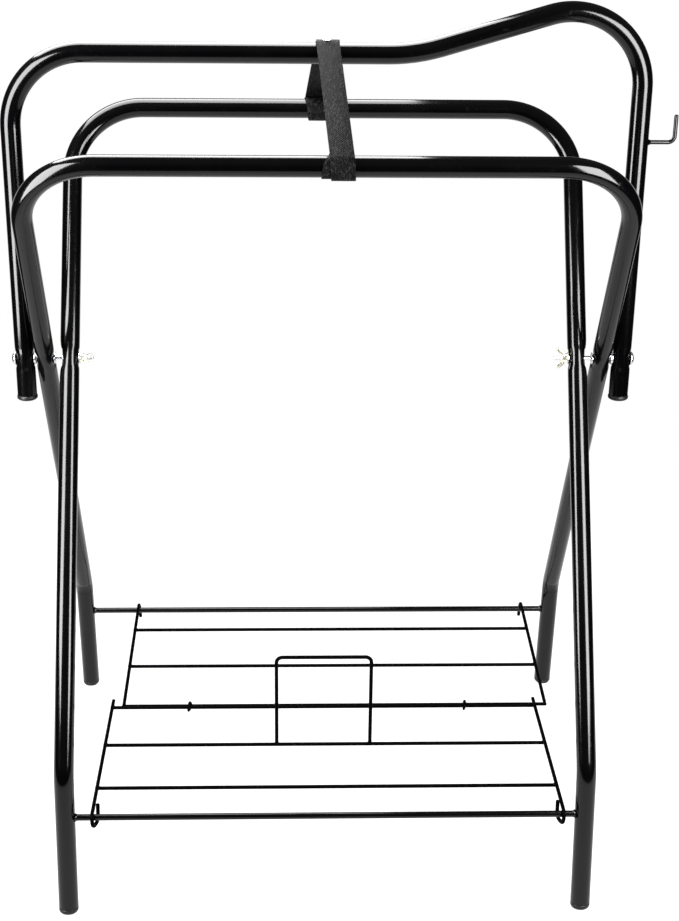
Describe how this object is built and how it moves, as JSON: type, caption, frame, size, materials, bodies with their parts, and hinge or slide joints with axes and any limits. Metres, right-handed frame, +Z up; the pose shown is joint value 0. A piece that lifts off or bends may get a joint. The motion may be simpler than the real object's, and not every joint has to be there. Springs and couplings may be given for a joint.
{
  "type": "saddle rack",
  "caption": "Folding tube saddle rack: ridge bar with a raised end and a bridle hook, crossed leg frames, webbing strap and a wire shelf that folds.",
  "frame": {"origin": "centre of the bounding box at floor level; the ridge's middle plane is 13.5 mm towards -X from it because of the bridle hook", "axes": "+Z up, +X along the ridge towards its raised end, +Y towards the rear"},
  "size_m": [0.7356, 0.53, 0.9683],
  "materials": {
    "black_powder_coat": "gloss black powder coat",
    "black_wire": "gloss black powder coat on wire",
    "black_plastic": "moulded black plastic",
    "zinc_plate": "bright zinc plate",
    "yellow_zinc": "yellow zinc plate",
    "black_webbing": "woven black webbing"
  },
  "bodies": {
    "ridge": {"ridge_tube": "black_powder_coat", "bridle_hook": "black_powder_coat", "ridge_end_caps": "black_plastic", "pivot_bolts": "zinc_plate", "head_washers": "zinc_plate", "spacer_washers": "zinc_plate", "leg_washers": "zinc_plate", "nut_washers": "zinc_plate", "strap_front": "black_webbing", "strap_rear": "black_webbing", "strap_rivet": "zinc_plate"},
    "outer_legs": {"outer_leg_tube": "black_powder_coat", "rear_rod": "black_powder_coat", "rear_foot_caps": "black_plastic"},
    "inner_legs": {"inner_leg_tube": "black_powder_coat", "front_rod": "black_powder_coat", "front_foot_caps": "black_plastic"},
    "front_shelf": {"front_side_wire_left": "black_wire", "front_side_wire_right": "black_wire", "front_cross_wires": "black_wire", "front_centre_wire": "black_wire", "lift_loop": "black_wire"},
    "shelf_clips": {"hinge_clips": "black_wire"},
    "rear_shelf": {"rear_side_wire_left": "black_wire", "rear_side_wire_right": "black_wire", "rear_cross_wires": "black_wire", "rear_centre_wire": "black_wire"},
    "left_nut": {"wing_nut_left": "yellow_zinc"},
    "right_nut": {"wing_nut_right": "yellow_zinc"}
  },
  "joints": [
    {"name": "outer_legs_fold", "type": "hinge", "parent": "ridge", "child": "outer_legs", "pos_m": [-0.0135, 0, 0.57], "axis": [-1, 0, 0], "range_deg": [0, 26.5], "deforming": ["strap_front"]},
    {"name": "inner_legs_fold", "type": "hinge", "parent": "ridge", "child": "inner_legs", "pos_m": [-0.0135, 0, 0.57], "axis": [1, 0, 0], "range_deg": [0, 26.5], "deforming": ["strap_rear"]},
    {"name": "front_shelf_lift", "type": "hinge", "parent": "inner_legs", "child": "front_shelf", "pos_m": [-0.0135, -0.24004, 0.1155], "axis": [1, 0, 0], "range_deg": [0, 62.4]},
    {"name": "clip_turn", "type": "hinge", "parent": "front_shelf", "child": "shelf_clips", "pos_m": [-0.0135, 0.002, 0.11], "axis": [-1, 0, 0], "range_deg": [0, 88.9]},
    {"name": "rear_shelf_drop", "type": "hinge", "parent": "shelf_clips", "child": "rear_shelf", "pos_m": [-0.0135, 0.0064, 0.1094], "axis": [-1, 0, 0], "range_deg": [0, 90.3]},
    {"name": "left_wing_nut_turn", "type": "hinge", "parent": "ridge", "child": "left_nut", "pos_m": [-0.2855, 0, 0.57], "axis": [1, 0, 0], "range_deg": [0, 360]},
    {"name": "right_wing_nut_turn", "type": "hinge", "parent": "ridge", "child": "right_nut", "pos_m": [0.2585, 0, 0.57], "axis": [-1, 0, 0], "range_deg": [0, 360]}
  ],
  "couplings": [
    {"joint": "inner_legs_fold", "follows": "outer_legs_fold", "ratio": 1},
    {"joint": "front_shelf_lift", "follows": "outer_legs_fold", "ratio": 2.3509},
    {"joint": "clip_turn", "follows": "outer_legs_fold", "ratio": 3.3509},
    {"joint": "rear_shelf_drop", "follows": "outer_legs_fold", "ratio": 3.4038}
  ]
}
